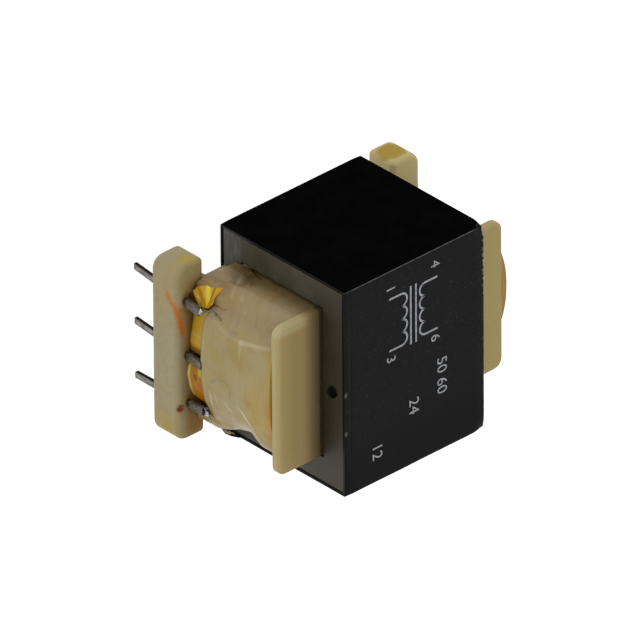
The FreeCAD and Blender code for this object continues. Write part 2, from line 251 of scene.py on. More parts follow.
def bobbin_nylon():
    """Moulded nylon, stained by varnish that ran down from the coil."""
    s = Shader("bobbin_nylon", Specular_IOR_Level=0.2)
    broad = s.noise(7.0, 3.0)
    fine = s.noise(0.7, 3.0, shift=7.0)
    s.mottle(broad, CREAM, CREAM_PALE)
    s.paint(OCHRE, 0.15, s.ramp(fine, 0.45, 0.75))

    # Varnish has run down the inner side of the near bar and pooled round the pins; the brown along the pin
    # row and round each pin is partly that varnish and partly painted shade where the bar meets the film
    # and the pins
    near = s.ramp(s.x, -12.4, -12.6)
    upper_side = s.ramp(s.z, 2.9, 3.7)
    fewer_at_end = s.blend(s.ramp(s.y, 9.2, 7.2), 0.2, 0.65)
    s.paint(OCHRE, 1.0, near, upper_side, s.ramp(s.x, -16.2, -14.6), fewer_at_end)
    s.dab((150, 80, 26), 0.8, (-13.8, 0.2, 5.0), (1.0, 1.2, 1.6), 0.6)
    # Brown along the pin row: partly varnish, partly painted shade between the bar and the film
    pin_row_stain_and_shade = s.times(s.ramp(s.y, 8.8, 6.2), s.ramp(s.y, -8.4, -6.0))
    s.paint(BROWN, 0.95, near, upper_side, s.ramp(s.x, -16.3, -14.1), pin_row_stain_and_shade)
    for number in PIN_LEAN:
        middle = pin_axis(number, bar_top)
        # Brown round each pin: partly varnish, partly painted shade where the pin enters the bar
        s.dab(BROWN, 0.8, (middle.x + 0.1, middle.y + 0.25, bar_top), (0.75, 1.1, 0.9), 0.7, 0.5)
        s.dab(DARK_BROWN, 0.85, (middle.x - 0.1, middle.y + 0.1, bar_top), (0.42, 0.6, 0.6), 0.5, 0.4, 0.3)
    s.dab((184, 92, 34), 0.9, (-13.9, -0.6, bar_top), (0.9, 0.8, 0.5), 0.5)

    # Stains on the near bar: yellow at its ends, rust in the middle and a red spot
    s.dab(YELLOW, 0.75, (-14.2, 10.0, 2.8), (1.4, 0.9, 1.0), 0.6, 0.5)
    s.dab(YELLOW, 0.6, (-16.3, -8.8, 2.2), (1.2, 2.2, 1.9), 0.9, 0.5)
    run = [(-16.4, 6.8, 2.4), (-16.4, 5.9, 3.2), (-16.3, 5.1, 3.7), (-15.95, 3.6, 3.8), (-15.7, 2.6, 3.8)]
    s.stroke(RUST, 0.85, run, 0.66, 1.0, 0.9, 0.5)
    link = [(-16.0, 5.1, 3.8), (-15.6, 5.3, 3.8)]
    s.stroke(RUST, 0.6, link, 0.25, 0.7, 0.5, 0.4)
    s.dab(DARK_RED, 1.0, (-16.05, -6.2, 3.7), (0.62, 0.66, 0.62), 0.7, 0.9, 0.4)
    s.dab(CREAM_PALE, 0.7, (-15.85, -6.1, 3.75), (0.16, 0.16, 0.3), 0.7)

    # The upper flange carries painted light all over, painted highlights on its outer edge and chamfer rim,
    # and painted shade that darkens it towards the core and in the gap beside the core; the corner by the
    # core is soaked with varnish
    upper = s.ramp(s.z, 15.8, 16.0)
    # Painted light: the flange lifted as a lit copy of the nylon
    s.paint((168, 149, 94), 0.8, upper)
    near_half = s.ramp(s.x, 0.0, -1.0)
    # Painted shade: darker from the outer edge towards the core
    s.paint((146, 125, 82), 0.85, upper, s.ramp(s.x, -15.4, -12.9), near_half)
    # Painted highlight on the outer edge
    s.paint((168, 156, 108), 0.6, upper, s.ramp(s.x, -14.4, -15.2), near_half)
    # Painted highlight on the chamfer rim
    s.paint((172, 164, 122), 0.6, upper, s.ramp(s.y, 7.2, 8.0), s.ramp(s.x, -10.5, -12.0))
    # Painted shade next to the core
    s.paint((76, 62, 40), 0.9, upper, s.ramp(s.x, -12.2, -9.5), s.ramp(s.x, 9.0, 8.0))
    # Varnish in the corner by the core, deepened with painted shade in the hollow
    s.dab(DARK_BROWN, 0.9, (-10.0, 8.2, 7.0), (2.8, 1.8, 2.4), 0.8, 0.5)
    s.dab((128, 92, 32), 0.75, (-14.3, -8.6, 3.7), (1.5, 2.2, 1.4), 0.8, 0.5)
    # Painted shade in the gap between the flange and the core
    s.paint((24, 18, 10), 0.8, upper, s.ramp(s.x, -9.8, -9.5), near_half)

    # The far bar is lightened with painted light, and has a yellow pool of varnish on its end
    far_bar = s.times(s.ramp(s.x, 12.0, 12.5), s.ramp(s.z, 6.6, 6.4))
    # Painted light: the far bar lifted as a lit copy of the nylon
    s.paint((184, 168, 118), 1.0, far_bar)
    far_end = s.times(far_bar, s.ramp(s.y, bobbin_high.y - 1.6, bobbin_high.y - 0.5))
    pool = s.spot((14.4, bobbin_high.y, 1.9), (1.9, 3.0, 1.7), 0.4, 0.4)
    s.paint((152, 126, 26), 0.95, far_end, pool)

    pits = s.noise(0.22, 2.0, shift=21.0)
    s.paint(OCHRE, 0.12, s.ramp(pits, 0.5, 0.75))
    roughness = s.blend(s.ramp(fine, 0.3, 0.7), 0.42, 0.6)
    return s.finish(roughness, s.relief(pits, 0.012, s.relief(fine, 0.05, s.relief(broad, 0.15))))


def steel():
    """Varnished laminations: a greenish brown E, a more neutral I strip and a dark pilot hole, partly dark
    varnish and partly painted shade.
    """
    s = Shader("core_steel", Specular_IOR_Level=0.25)
    broad = s.noise(2.5, 4.0)
    grain = s.noise(0.25, 3.0, stretch=(1, 6, 1), shift=3.0)
    s.mottle(broad, (56, 52, 39), (66, 61, 47))
    strip = s.ramp(s.z, core_low.z + 2.6, core_low.z + 2.5)
    s.paint(s.mix(s.ramp(grain, 0.3, 0.7), (64, 62, 57), (80, 78, 73)), 1.0, strip)
    s.paint((53, 48, 36), 0.7, s.ramp(s.z, 14.5, 17.5))
    # The pilot hole: partly dark varnish, partly painted shade in the hole
    s.dab((8, 7, 6), 0.9, (-8.9, -0.7, 18.3), (1.2, 0.7, 0.7), 0.25)
    s.paint((92, 86, 72), 0.2, s.ramp(grain, 0.55, 0.8))
    roughness = s.blend(broad, 0.42, 0.62)
    return s.finish(roughness, s.relief(grain, 0.01, s.relief(broad, 0.03)))


def metal(name, light, dark, size, stretch, relief, roughness, **fixed):
    """Dull metal with fine lines or grains that run along the stretch."""
    s = Shader(name, **fixed)
    grain = s.noise(size, 3.0, stretch=stretch)
    s.mottle(grain, dark, light)
    rough = s.blend(grain, roughness, roughness + 0.15)
    return s.finish(rough, s.relief(grain, relief))


def pin_steel():
    """Tinned pins: dark above, where they mirror the dark core, and bright-grained below."""
    s = Shader("pin_metal", Specular_IOR_Level=0.0)
    grain = s.noise(0.16, 3.0, stretch=(1, 1, 5))
    s.mottle(grain, (108, 104, 100), (150, 146, 142))
    lines = [[pin_axis(number, z) + SHADOW_SIDE for z in (-5.0, 6.0)] for number in PIN_LEAN]
    shadow = s.most(*(s.streak(line, 0.42, 0.3) for line in lines))
    umber = s.mix(s.ramp(s.z, 2.0, 3.5), (26, 22, 20), (66, 38, 16))
    s.paint(umber, 0.95, shadow)
    s.feed(s.surface.inputs["Metallic"], s.blend(shadow, 0.3, 0.0))
    tip_z = cad_low.z / MM
    s.paint((38, 34, 32), 0.8, s.ramp(s.z, tip_z + 0.22, tip_z + 0.08))
    s.paint((64, 50, 30), 0.6, s.ramp(s.z, 3.4, 3.9))
    return s.finish(s.blend(grain, 0.35, 0.5), s.relief(grain, 0.01))


# Creases on the tape's near face, each as points (y, z)
RIDGE = [(5.9, 6.4), (5.3, 7.3), (4.7, 9.4), (4.6, 11.6), (5.1, 13.8), (5.7, 16.0)]
WHITE_CREASE = [(-3.0, 11.4), (-5.7, 13.5), (-7.4, 15.2)]
PALE_CREASE = [(-2.8, 6.9), (-3.6, 7.05), (-7.3, 6.97)]
SHORT_CREASE = [(-2.6, 7.6), (-4.4, 8.0)]
UPRIGHT_CREASE = [(4.6, 11.4), (0.5, 11.5), (-3.0, 11.3)]
FOLD_CREASE = [(-3.6, 9.2), (-4.6, 10.4), (-6.6, 9.4)]

# Each crease's line, its half width there and how strong its painted highlight is
CREASE_HIGHLIGHTS = (
    (WHITE_CREASE, 0.3, 0.7), (PALE_CREASE, 0.26, 0.6), (SHORT_CREASE, 0.16, 0.5),
    (RIDGE[3:], 0.45, 0.4), (RIDGE[1:4], 0.5, 0.15), (FOLD_CREASE, 0.22, 0.4),
    (UPRIGHT_CREASE, 0.35, 0.2),
)

# Creases on the coil's side near the core, each as two points, painted as highlights
SIDE_CREASE_HIGHLIGHTS = (
    ((-13.3, 7.7, 8.3), (-11.0, 8.3, 7.1)), ((-12.9, 7.8, 9.4), (-11.0, 8.2, 8.3)),
    ((-13.6, 7.0, 10.6), (-11.4, 8.0, 9.4)), ((-12.6, 7.7, 12.6), (-11.2, 8.1, 11.4)),
)


def tape_film():
    """Cream translucent tape with varnish under it."""
    s = Shader("wrap_tape", Specular_IOR_Level=0.25, Coat_Weight=0.06, Coat_Roughness=0.2)
    broad = s.noise(5.0, 2.0)
    cloud = s.noise(1.6, 3.0, shift=11.0)
    fine = s.noise(0.25, 3.0, shift=5.0)
    patch = s.noise(2.6, 3.0, shift=31.0)
    s.mottle(broad, (148, 129, 78), (153, 138, 96), 0.3, 0.7)
    s.paint((152, 136, 98), 0.5, s.ramp(patch, 0.5, 0.62))
    s.paint((152, 130, 62), 0.45, s.ramp(patch, 0.46, 0.34))
    s.paint((144, 120, 62), 0.3, s.ramp(cloud, 0.45, 0.75))

    # Broad paler and golden zones of the near face, then amber below the upper flange
    s.dab((148, 140, 98), 0.5, (-15.2, -3.2, 10.6), (1.5, 2.3, 2.4), 0.9, 0.4)
    s.dab((156, 130, 60), 0.75, (-15.2, -2.4, 14.2), (1.5, 5.6, 2.2), 0.8, 0.4)
    s.dab((154, 140, 98), 0.5, (-15.0, -5.8, 9.8), (1.5, 2.0, 1.6), 0.8, 0.4)
    s.dab((158, 132, 52), 0.6, (-15.2, -3.0, 13.4), (1.5, 4.4, 2.4), 0.9, 0.5)
    s.dab((140, 108, 44), 0.45, (-15.2, -1.8, 12.6), (1.5, 1.5, 0.8), 0.9, 0.6)
    top_rim = s.times(s.ramp(s.z, 14.9, 15.7), s.ramp(s.x, -12.0, -13.0), s.ramp(s.y, 5.6, 4.6))
    amber = s.mix(s.ramp(s.y, 1.0, -2.0), (156, 130, 56), (164, 112, 14))
    s.paint(amber, 0.8, top_rim)

    # The facet beyond the ridge is darkened with painted shade, and beside the core varnish has soaked in,
    # deepened with painted shade in the hollow there
    # Painted shade on the facet beyond the ridge
    s.paint((138, 118, 90), 0.55, s.ramp(s.y, 4.6, 6.4), s.ramp(s.x, -9.5, -11.5))
    s.dab((146, 114, 48), 0.3, (-13.6, 7.4, 8.4), (1.6, 1.6, 1.4), 0.8, 0.5)
    # Varnish soaked in beside the core, deepened with painted shade in the hollow
    s.dab((62, 46, 22), 0.85, (-10.1, 8.3, 7.0), (2.5, 1.6, 2.6), 0.8, 0.5)
    by_core_stain_and_shade = s.times(s.ramp(s.x, -12.0, -9.4), s.ramp(s.x, 9.4, 8.0))
    s.paint((78, 62, 34), 0.8, by_core_stain_and_shade, s.ramp(s.y, 6.5, 7.8))
    draped = s.times(s.ramp(s.z, 8.2, 6.4), s.ramp(s.y, 5.6, 6.6), s.ramp(s.x, -11.6, -12.8))
    s.paint(s.mix(s.ramp(cloud, 0.4, 0.6), (140, 114, 60), (128, 96, 40)), 0.7, draped)
    s.paint((168, 124, 54), 0.8, s.ramp(s.z, 14.4, 15.6), s.ramp(s.x, 12.0, 13.0))

    # A lead that shows through the tape, and small marks
    lead = [(-14.8, 5.7, 7.2), (-14.9, 5.4, 8.1), (-15.0, 5.1, 9.2), (-15.1, 4.7, 10.2)]
    s.stroke((116, 114, 100), 0.5, lead, 0.35, 0.9, 0.5, 0.5)
    s.dab((120, 116, 100), 0.5, (-15.0, 4.8, 10.15), (0.9, 0.7, 0.9), 0.8, 0.9, 0.5)
    arc = [(-1.85, 7.3), (-0.95, 8.3), (-0.7, 9.6), (-1.34, 10.3), (-2.3, 10.0)]
    s.stroke((112, 112, 92), 0.5, [(-15.3, y, z) for y, z in arc], 0.24, 0.8, 0.3, 0.4)
    s.stroke((112, 84, 44), 0.5, [(-15.0, 5.5, 9.5), (-14.9, 5.9, 10.2)], 0.16, 0.8, 0.4, 0.3)
    s.paint((176, 160, 120), 0.2, s.ramp(s.z, 6.6, 6.2), s.ramp(s.x, -13.0, -14.0))
    s.stroke((150, 116, 30), 0.7, [(-13.9, -7.9, 5.2), (-13.0, -8.3, 6.2)], 0.55, 0.9, 0.9, 0.4)

    # Painted highlights along the creases
    for line, width, strength in CREASE_HIGHLIGHTS:
        crease = s.streak([(-15.0, y, z) for y, z in line], width, 0.8, 0.3, 0.4)
        s.paint((190, 180, 148), strength, crease, s.ramp(s.x, -12.5, -13.5))
    for crease in SIDE_CREASE_HIGHLIGHTS:
        s.stroke((170, 156, 122), 0.3, crease, 0.3, 1.0, 0.8, 0.4)
    wrinkle = s.noise(0.5, 4.0, stretch=(3, 2, 1), shift=17.0)
    side = s.times(s.ramp(s.y, 4.6, 6.0), s.ramp(s.x, 0.0, -1.0))
    s.paint((126, 104, 66), 0.3, side, s.ramp(wrinkle, 0.5, 0.7))
    s.paint((120, 104, 66), 0.1, s.ramp(fine, 0.5, 0.8))
    roughness = s.blend(s.ramp(cloud, 0.35, 0.7), 0.36, 0.55)
    return s.finish(roughness, s.relief(fine, 0.02, s.relief(wrinkle, 0.06, s.relief(cloud, 0.12))))


def yellow_film():
    """Thin polyester film, yellow and amber, with painted highlights and painted shade on its pleats and
    bulges.
    """
    s = Shader("clear_film", Specular_IOR_Level=0.2)
    cloud = s.noise(0.8, 2.0)
    s.mottle(cloud, (160, 122, 36), (150, 104, 26))

    # The fan over pin 1: pleats from its tip to its rim, painted as stripes, some of them painted highlight
    # and painted shade
    fan = s.ramp(s.y, 5.7, 5.9)
    s.paint((186, 148, 40), 1.0, fan)
    fan_apex = (-14.5, 5.95, 6.15)
    # Each pleat's rim point, half width and tone; the bright (212, 186, 52) stripe is a painted highlight
    # and the dark (132, 92, 16) one painted shade
    pleats = (
        ((-14.5, 7.2, 4.1), 0.16, (200, 180, 96)),
        ((-14.45, 7.9, 4.8), 0.4, (184, 120, 10)),
        ((-14.28, 8.45, 6.1), 0.42, (212, 186, 52)),
        ((-14.1, 8.4, 6.8), 0.14, (132, 92, 16)),
        ((-13.75, 8.5, 7.3), 0.3, (190, 142, 30)),
    )
    for rim, width, tone in pleats:
        s.paint(tone, 1.0, fan, s.streak([fan_apex, rim], width, 0.7))

    # Between pins 1 and 2: yellow, with a bright line by the coil and a brown lower corner
    middle = s.times(s.ramp(s.y, 5.7, 5.5), s.ramp(s.y, 0.2, 0.5))
    s.paint((190, 152, 44), 0.85, middle)
    s.paint((204, 176, 60), 1.0, middle, s.ramp(s.z, 5.4, 5.8), s.ramp(s.y, 2.6, 3.2))
    s.paint((120, 72, 22), 0.8, middle, s.ramp(s.y, 1.3, 0.6))
    s.paint((186, 158, 78), 1.0, middle, s.streak([(-14.7, 2.3, 4.2), (-14.7, 2.2, 6.4)], 0.16, 0.7))

    # Between pins 2 and 3: amber with a painted highlight and painted shade on the bulge, then orange
    # beside pin 3, with a pale lower rim
    low = s.ramp(s.y, -0.2, -0.5)
    s.paint((168, 112, 14), 1.0, low)
    # Painted highlight on the bulge
    s.paint((206, 176, 50), 1.0, low, s.spot((-14.9, -1.6, 5.35), (0.7, 0.95, 0.4), 0.5))
    s.paint((172, 98, 0), 1.0, s.ramp(s.y, -2.9, -3.4), s.ramp(s.z, 4.7, 5.1))
    s.paint((96, 42, 16), 1.0, s.ramp(s.y, -5.0, -5.6))
    # Painted shade in the middle of the bulge
    s.paint((140, 84, 8), 0.5, low, s.spot((-15.1, -2.2, 4.6), (0.8, 1.0, 0.5), 0.6, 0.4))
    seam = [(-15.0, -2.3, 4.75), (-15.0, -3.9, 4.95), (-14.6, -5.0, 5.4)]
    s.stroke((92, 46, 8), 0.8, seam, 0.2, 0.8)
    pale_fold = [(-15.2, -2.6, 4.4), (-15.1, -4.0, 4.7), (-14.8, -4.9, 5.0)]
    s.stroke((206, 186, 122), 0.8, pale_fold, 0.14, 0.7)
    pale_rim = s.times(low, s.ramp(s.z, bar_top + 0.5, bar_top + 0.25), s.ramp(s.y, -5.2, -4.6))
    s.paint((206, 184, 112), 0.85, pale_rim)
    return s.finish(s.blend(cloud, 0.22, 0.38), s.relief(cloud, 0.03))


def band_skin():
    """The band's satin sides: almost black, with dust, painted highlights along the print face's upper edge
    and beside its fold, and chips at the far end.
    """
    s = Shader("sleeve_black", Specular_IOR_Level=0.1)
    broad = s.noise(6.0, 3.0)
    dust = s.noise(0.16, 2.0, shift=2.0)
    chip = s.noise(0.5, 3.0, shift=8.0)
    s.mottle(broad, (15, 15, 16), (19, 19, 20))
    s.paint((80, 80, 80), 0.5, s.ramp(dust, 0.64, 0.76))
    s.paint((8, 8, 9), 0.9, s.ramp(s.y, -3.0, -11.0))
    worn_corner = s.times(s.ramp(s.y, 2.0, 6.0), s.ramp(s.z, 17.5, 19.5))
    worn_end = s.times(s.ramp(s.x, 9.3, 9.6), s.ramp(chip, 0.5, 0.58))
    s.paint((150, 148, 146), 1.0, worn_end, s.blend(worn_corner, 0.15, 0.85))

    # On the print face: a dark fold with a thin painted highlight beside it, a painted highlight along the
    # upper edge and two specks
    top_z = sleeve_high.z
    s.stroke((2, 2, 2), 0.9, [(-8.45, 12.0, top_z), (-8.45, -12.0, top_z)], 0.1, 0.7)
    # Painted highlight beside the fold
    s.stroke((44, 44, 45), 0.6, [(-8.62, 12.0, top_z), (-8.62, -12.0, top_z)], 0.08, 0.7)
    # Painted highlight along the print face's upper edge
    edge = [(-9.3, sleeve_high.y, top_z), (9.6, sleeve_high.y, top_z)]
    s.stroke((120, 120, 122), 0.9, edge, 0.3, 0.8, 0.5, 0.5)
    for speck_y in (-0.1, -4.6):
        s.dab((110, 110, 106), 0.5, (-9.1, speck_y, top_z), (0.22, 0.36, 0.3), 0.5, 0.5, 0.3)
    roughness = s.blend(s.ramp(broad, 0.3, 0.7), 0.38, 0.5)
    return s.finish(roughness, s.relief(dust, 0.006, s.relief(broad, 0.06)))


def band_top():
    """The band's upper side, deep black with a faint cool painted highlight along its rear edge."""
    s = Shader("sleeve_black_top", Specular_IOR_Level=0.0, Roughness=0.8)
    broad = s.noise(3.0, 3.0)
    s.mottle(broad, (5, 5, 5), (8, 8, 8))
    # Painted highlight where the rounded rear edge catches the light
    rear = s.ramp(s.z, sleeve_low.z + 0.3, sleeve_low.z + 0.1)
    s.paint((46, 52, 60), 0.7, rear)
    return s.finish(None, s.relief(broad, 0.04))


def plain(name, light, dark, roughness, size):
    s = Shader(name)
    s.mottle(s.noise(size, 3.0), light, dark)
    return s.finish(roughness)


by_slot = {
    "bobbin_nylon": bobbin_nylon(),
    "core_steel": steel(),
    "pin_metal": pin_steel(),
    "solder": metal(
        "solder", (112, 106, 94), (60, 54, 44), 0.1, (1, 1, 8), 0.02, 0.42, Metallic=0.3
    ),
    "lead_metal": metal(
        "lead_metal", (122, 120, 104), (82, 78, 64), 0.2, (3, 3, 3), 0.01, 0.4, Metallic=0.3
    ),
    "winding": plain("winding", (120, 66, 30), (92, 46, 20), 0.4, 1.0),
    "clear_film": yellow_film(),
    "wrap_tape": tape_film(),
    "sleeve_black": band_skin(),
}
sleeve_top = band_top()
bright_solder = metal(
    "bright_solder", (226, 226, 230), (120, 118, 118), 0.2, (1, 1, 1), 0.05, 0.2, Metallic=0.6
)
print_ink = plain("print_ink", (160, 163, 168), (132, 134, 138), 0.6, 0.3)
gold_strip = plain("gold_strip", (176, 142, 84), (120, 88, 40), 0.35, 0.4)

for part in frame["record"]["subparts"]:
    node = frame["nodes"][part["node"]]
    node.data.materials.clear()
    node.data.materials.append(by_slot[part["material_slot"]])


# Making meshes

SHEET_THICKNESS = 0.04


def add(name, data):
    """A new object in the scene."""
    made = bpy.data.objects.new(name, data)
    bpy.context.scene.collection.objects.link(made)
    return made


def make_piece(name, shape, slot, replaces=(), material=None):
    """A smooth-shaded piece on the frame; its shape is points in millimetres, then faces."""
    points, faces = shape
    mesh = bpy.data.meshes.new(name)
    mesh.from_pydata([Vector(p) * MM for p in points], [], faces)
    skin = bmesh.new()
    skin.from_mesh(mesh)
    bmesh.ops.recalc_face_normals(skin, faces=skin.faces)
    skin.to_mesh(mesh)
    skin.free()
    mesh.polygons.foreach_set("use_smooth", [True] * len(mesh.polygons))
    mesh.materials.append(material or by_slot[slot])
    made = add(name, mesh)
    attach(made, "root")
    if replaces:
        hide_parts(*replaces)
    return made


def thicken(made):
    """Gives a thin sheet its thickness."""
    shell = made.modifiers.new("thickness", "SOLIDIFY")
    shell.thickness = SHEET_THICKNESS * MM


def lattice(rows, columns, close_rows=False, close_columns=False, first=0):
    """Quads between the points of a grid that is stored row by row."""
    faces = []
    for i in range(rows if close_rows else rows - 1):
        for j in range(columns if close_columns else columns - 1):
            below, beside = (i + 1) % rows, (j + 1) % columns
            corners = (i * columns + j, below * columns + j, below * columns + beside, i * columns + beside)
            faces.append(tuple(first + corner for corner in corners))
    return faces


def steps(low, high, count):
    """Evenly spaced values from low to high, both included."""
    return [low + (high - low) * n / count for n in range(count + 1)]


def smooth(value, low, high):
    """0 at low, 1 at high and soft between; low may be the larger."""
    share = min(max((value - low) / (high - low), 0.0), 1.0)
    return share * share * (3 - 2 * share)


def ripple(x, y, z, size, seed):
    """Soft noise from about -1 to 1."""
    return noise.noise(Vector((x / size + seed, y / size, z / size)))


def along(line, share):
    """The point at a share of the length of a chain of straight runs."""
    line = [Vector(p) for p in line]
    lengths = [(b - a).length for a, b in zip(line, line[1:])]
    rest = share * sum(lengths)
    for a, b, length in zip(line, line[1:], lengths):
        if rest <= length:
            return a.lerp(b, rest / length)
        rest -= length
    return line[-1]


def tube(path, radius, sides, flat=1.0):
    """Points and faces of a tube along a path, closed at its ends; flat squeezes its section."""
    path = [Vector(p) for p in path]
    points = []
    side = None
    for n, here in enumerate(path):
        ahead = path[min(n + 1, len(path) - 1)] - path[max(n - 1, 0)]
        ahead.normalize()
        if side is None:
            side = ahead.orthogonal().normalized()
        side = (side - ahead * side.dot(ahead)).normalized()
        across = ahead.cross(side)
        for k in range(sides):
            turn = 2 * math.pi * k / sides
            points.append(here + (side * math.cos(turn) * flat + across * math.sin(turn)) * radius)
    faces = lattice(len(path), sides, close_columns=True)
    faces.append(tuple(range(sides)))
    last = (len(path) - 1) * sides
    faces.append(tuple(reversed(range(last, last + sides))))
    return points, faces


def joined(*meshes):
    """Several lists of points and faces as one."""
    points, faces = [], []
    for more_points, more_faces in meshes:
        start = len(points)
        points.extend(more_points)
        faces.extend(tuple(start + corner for corner in face) for face in more_faces)
    return points, faces


# Black band

BAND_WALL = 0.42
BAND_CORNER = 0.28
BAND_CORNER_STEPS = 6
BAND_SIDE_STEPS = 44
BAND_LENGTH_STEPS = 70
BAND_INNER_STEPS = 12
BAND_BEVEL_LENGTH = 1.0
BAND_BEVEL_DEPTH = 0.05
BAND_LIP = 0.05
LIP_ROUND = 0.3
BAND_SINK = 0.02
BAND_WAVE = 0.015
BAND_GRAIN = 0.004
CRUSH_REACH = 1.5
CRUSH_DEPTH = 0.4


def band_outline():
    """Corner centre (y, z) and outward direction, round the band's section."""
    half_y = (sleeve_high.y - sleeve_low.y) / 2 - BAND_CORNER
    half_z = (sleeve_high.z - sleeve_low.z) / 2 - BAND_CORNER
    corners = [(half_y, half_z), (-half_y, half_z), (-half_y, -half_z), (half_y, -half_z)]
    outline = []
    for n, (y, z) in enumerate(corners):
        for k in range(BAND_CORNER_STEPS + 1):
            turn = math.pi / 2 * (n + k / BAND_CORNER_STEPS)
            outline.append((y, z, math.cos(turn), math.sin(turn)))
        next_y, next_z = corners[(n + 1) % 4]
        turn = math.pi / 2 * (n + 1)
        for k in range(1, BAND_SIDE_STEPS):
            share = k / BAND_SIDE_STEPS
            centre_y, centre_z = y + (next_y - y) * share, z + (next_z - z) * share
            outline.append((centre_y, centre_z, math.cos(turn), math.sin(turn)))
    return outline


def band_profile():
    """X, depth in the wall and whether it is skin: outer skin, far lip, inner skin and near lip."""
    near, far = sleeve_low.x, sleeve_high.x
    skin = []
    for x in steps(near + BAND_LIP, far - BAND_LIP, BAND_LENGTH_STEPS):
        to_end = min(x - near, far - x)
        skin.append((x, BAND_BEVEL_DEPTH * max(0.0, 1 - to_end / BAND_BEVEL_LENGTH), 1.0))
    turn = BAND_LIP * LIP_ROUND
    lip = BAND_BEVEL_DEPTH + turn
    far_lip = [(far - turn, lip, 1.0), (far, BAND_BEVEL_DEPTH + BAND_LIP, 1.0)]
    inner = [(x, BAND_WALL, 0.0) for x in steps(far - BAND_LIP, near + BAND_LIP, BAND_INNER_STEPS)]
    near_lip = [(near, BAND_BEVEL_DEPTH + BAND_LIP, 1.0), (near + turn, lip, 1.0)]
    return skin + far_lip + inner + near_lip


def band_dent(x, y, z):
    """How far the skin is pushed in: a soft waviness, and the crushed far corners."""
    depth = BAND_SINK + BAND_WAVE * ripple(x, y, z, 4.0, 3.0) + BAND_GRAIN * ripple(x, y, z, 0.7, 9.0)
    for corner_y, strength in ((sleeve_high.y, 1.0), (sleeve_low.y, 0.4)):
        away = (Vector((x, y, z)) - Vector((sleeve_high.x, corner_y, sleeve_high.z))).length
        depth += strength * CRUSH_DEPTH * smooth(CRUSH_REACH - away, 0.0, CRUSH_REACH)
    return depth


def black_band():
    outline = band_outline()
    profile = band_profile()
    points = []
    for x, depth, skin in profile:
        for centre_y, centre_z, out_y, out_z in outline:
            reach = BAND_CORNER - depth
            y = centre_y + out_y * reach
            z = core_centre.z + centre_z + out_z * reach
            if skin:
                dent = band_dent(x, y, z)
                y -= out_y * dent
                z -= out_z * dent
            points.append((x, y, z))
    faces = lattice(len(profile), len(outline), close_rows=True, close_columns=True)
    made = make_piece("band", (points, faces), "sleeve_black", ["core_sleeve"])
    made.data.materials.append(sleeve_top)
    for face in made.data.polygons:
        if face.center.y > (sleeve_high.y - BAND_WALL / 2) * MM and face.normal.y > 0.5:
            face.material_index = 1


black_band()


# Tape round the coil

# Radii of the tape's corners and of its bowed end faces
TAPE_CORNER = 3.1
NEAR_BOW = 22.0
FAR_BOW = 11.3

# How far inside the tape's outer face the other faces lie
TAPE_THICKNESS = 0.2
WINDING_GAP = 0.3
WINDING_DEPTH = 1.9

TAPE_EDGE_DROP = 0.55
DENT_START = 7.0
DENT_Z = 11.6
DENT_END = 13.4
DENT_DEPTH = 0.75
COIL_PLAY = 0.12
COIL_END_GAP = 0.04
CAP_REACH = 1.0
COIL_ROWS = 56
COIL_CORNER_STEPS = 16
COIL_BOW_STEPS = 34
COIL_SIDE_STEPS = 30
TAPE_WAVE = 0.05
TAPE_GRAIN = 0.012
TAPE_SINK = 0.03

# Each raised crease's line, its height and its half width
RAISED_CREASES = (
    (RIDGE, 0.08, 0.3), (WHITE_CREASE, 0.06, 0.12), (PALE_CREASE, 0.05, 0.14), (UPRIGHT_CREASE, 0.05, 0.3),
)

# The tape is drawn in beside the core, and along the facet beyond the ridge
HOLLOW = Vector((-10.2, 8.2, 7.2))
HOLLOW_REACH = 2.2
HOLLOW_DEPTH = 0.35
FACET_DEPTH = 0.5


def coil_outline():
    """Points (x, y, out_x, out_y) round the coil, from the outer face of the tape."""
    ends = {1: (tape_high.x, FAR_BOW), -1: (-tape_low.x, NEAR_BOW)}
    corner_y = tape_high.y - TAPE_CORNER
    corner_x = {}
    for side, (reach, bow) in ends.items():
        corner_x[side] = reach - bow + math.sqrt((bow - TAPE_CORNER) ** 2 - corner_y ** 2)
    outline = []
    for side, (reach, bow) in ends.items():
        bow_centre = reach - bow
        lean = math.atan2(corner_y, corner_x[side] - bow_centre)
        quarter = []
        for turn in steps(math.pi / 2, lean, COIL_CORNER_STEPS):
            x = corner_x[side] + TAPE_CORNER * math.cos(turn)
            quarter.append((x, corner_y + TAPE_CORNER * math.sin(turn), turn))
        for turn in steps(lean, 0, COIL_BOW_STEPS)[1:]:
            quarter.append((bow_centre + bow * math.cos(turn), bow * math.sin(turn), turn))
        half = quarter + [(x, -y, -turn) for x, y, turn in reversed(quarter[:-1])]
        for x, y, turn in half:
            outline.append((side * x, side * y, side * math.cos(turn), side * math.sin(turn)))
        x, y, turn = half[-1]
        for flat_x in steps(side * x, -side * corner_x[-side], COIL_SIDE_STEPS)[1:-1]:
            outline.append((flat_x, side * y, 0.0, side * math.sin(turn)))
    return outline


def line_distance(y, z, line):
    """Distance in the Y-Z plane from a point to a chain of straight runs."""
    here = Vector((y, z))
    reaches = []
    for (y0, z0), (y1, z1) in zip(line, line[1:]):
        start, run = Vector((y0, z0)), Vector((y1 - y0, z1 - z0))
        share = min(max((here - start).dot(run) / run.length_squared, 0.0), 1.0)
        reaches.append((here - start - run * share).length)
    return min(reaches)


def ridge_y(z):
    """Where the ridge runs at a height."""
    for (y0, z0), (y1, z1) in zip(RIDGE, RIDGE[1:]):
        if z <= z1:
            return y0 + (y1 - y0) * min(max((z - z0) / (z1 - z0), 0.0), 1.0)
    return RIDGE[-1][0]


